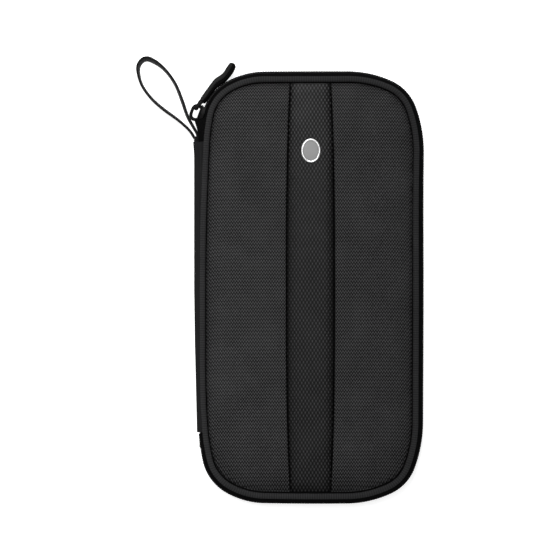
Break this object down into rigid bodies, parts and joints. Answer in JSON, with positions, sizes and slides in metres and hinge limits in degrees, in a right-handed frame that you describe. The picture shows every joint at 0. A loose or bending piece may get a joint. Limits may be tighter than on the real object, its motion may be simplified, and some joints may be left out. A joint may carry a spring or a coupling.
{
  "type": "passport holder wallet",
  "caption": "Flat clamshell travel-document organiser with rounded corners, padded covers, a fabric spine, a coil zip round three sides, inner pockets and a wrist loop.",
  "frame": {"origin": "middle of the back cover's outer face, which the case lies on", "axes": "+Z out of the front cover, +Y along the spine to the end with the zip slider, +X from the spine to the opening side"},
  "size_m": [0.1692, 0.2638, 0.025],
  "materials": {
    "nylon": "woven nylon, ribbed, semi-matt",
    "strip": "jacquard weave, slightly glossy",
    "binding": "ribbed binding tape",
    "lining": "plain woven polyester",
    "foam": "foam board under fabric",
    "zip": "woven zip tape and nylon coil",
    "net": "knitted net",
    "dark_metal": "black enamelled zinc",
    "bright_metal": "polished",
    "badge_field": "fine brushed grey",
    "rubber": "matt moulded",
    "ribbon": "flat elastic ribbon"
  },
  "bodies": {
    "back_half": {"back_outer_fabric": "nylon", "back_foam_board": "foam", "back_lining": "lining", "back_piping": "binding", "back_zip_tape": "zip", "back_zip_coil": "zip", "back_zip_stop": "dark_metal", "card_panel": "lining", "card_slot_1": "lining", "card_slot_2": "lining", "card_slot_3": "lining", "card_slot_4": "lining", "passport_pocket": "lining", "pen_loop": "ribbon", "wrist_loop_anchor": "binding"},
    "spine": {"spine_cover": "nylon", "spine_board": "foam", "spine_lining": "lining"},
    "front_half": {"front_panel_left": "nylon", "front_panel_right": "nylon", "front_centre_strip": "strip", "front_foam_board": "foam", "front_lining": "lining", "front_piping": "binding", "front_zip_tape": "zip", "front_zip_coil": "zip", "front_zip_stop": "dark_metal", "badge_rim": "bright_metal", "badge_field": "badge_field", "boarding_pass_pocket": "lining", "mesh_pocket_border": "binding", "mesh_pocket_net": "net", "inner_zip_tape_1": "zip", "inner_zip_tape_2": "zip", "inner_zip_coil": "zip"},
    "zip_slider": {"slider_body": "dark_metal", "slider_bail": "dark_metal"},
    "zip_puller": {"puller_shackle": "dark_metal", "puller_grip": "rubber"},
    "pocket_slider": {"inner_slider": "dark_metal", "inner_pull": "dark_metal"},
    "wrist_strap": {"wrist_loop": "ribbon"}
  },
  "joints": [
    {"name": "spine_fold", "type": "hinge", "parent": "back_half", "child": "spine", "pos_m": [-0.0655, 0, 0.004], "axis": [0, -1, 0], "range_deg": [0, 88], "deforming": ["wrist_loop"]},
    {"name": "cover_fold", "type": "hinge", "parent": "spine", "child": "front_half", "pos_m": [-0.0655, 0, 0.021], "axis": [0, -1, 0], "range_deg": [0, 88]},
    {"name": "slider_travel", "type": "hinge", "parent": "back_half", "child": "zip_slider", "pos_m": [-0.03463, 0.09631, 0], "axis": [0, 0, -1], "range_deg": [0, 20]},
    {"name": "puller_swing", "type": "hinge", "parent": "zip_slider", "child": "zip_puller", "pos_m": [-0.06653, 0.10607, 0.0125], "axis": [0, 0, 1], "range_deg": [0, 90]},
    {"name": "pocket_slider_travel", "type": "slide", "parent": "front_half", "child": "pocket_slider", "axis": [1, 0, 0], "range_m": [0, 0.084]},
    {"name": "wrist_loop_swing", "type": "hinge", "parent": "back_half", "child": "wrist_strap", "pos_m": [-0.0666, 0.088, 0.005], "axis": [0, 0, 1], "range_deg": [-20, 30]}
  ],
  "couplings": [
    {"joint": "cover_fold", "follows": "spine_fold", "ratio": 1}
  ]
}
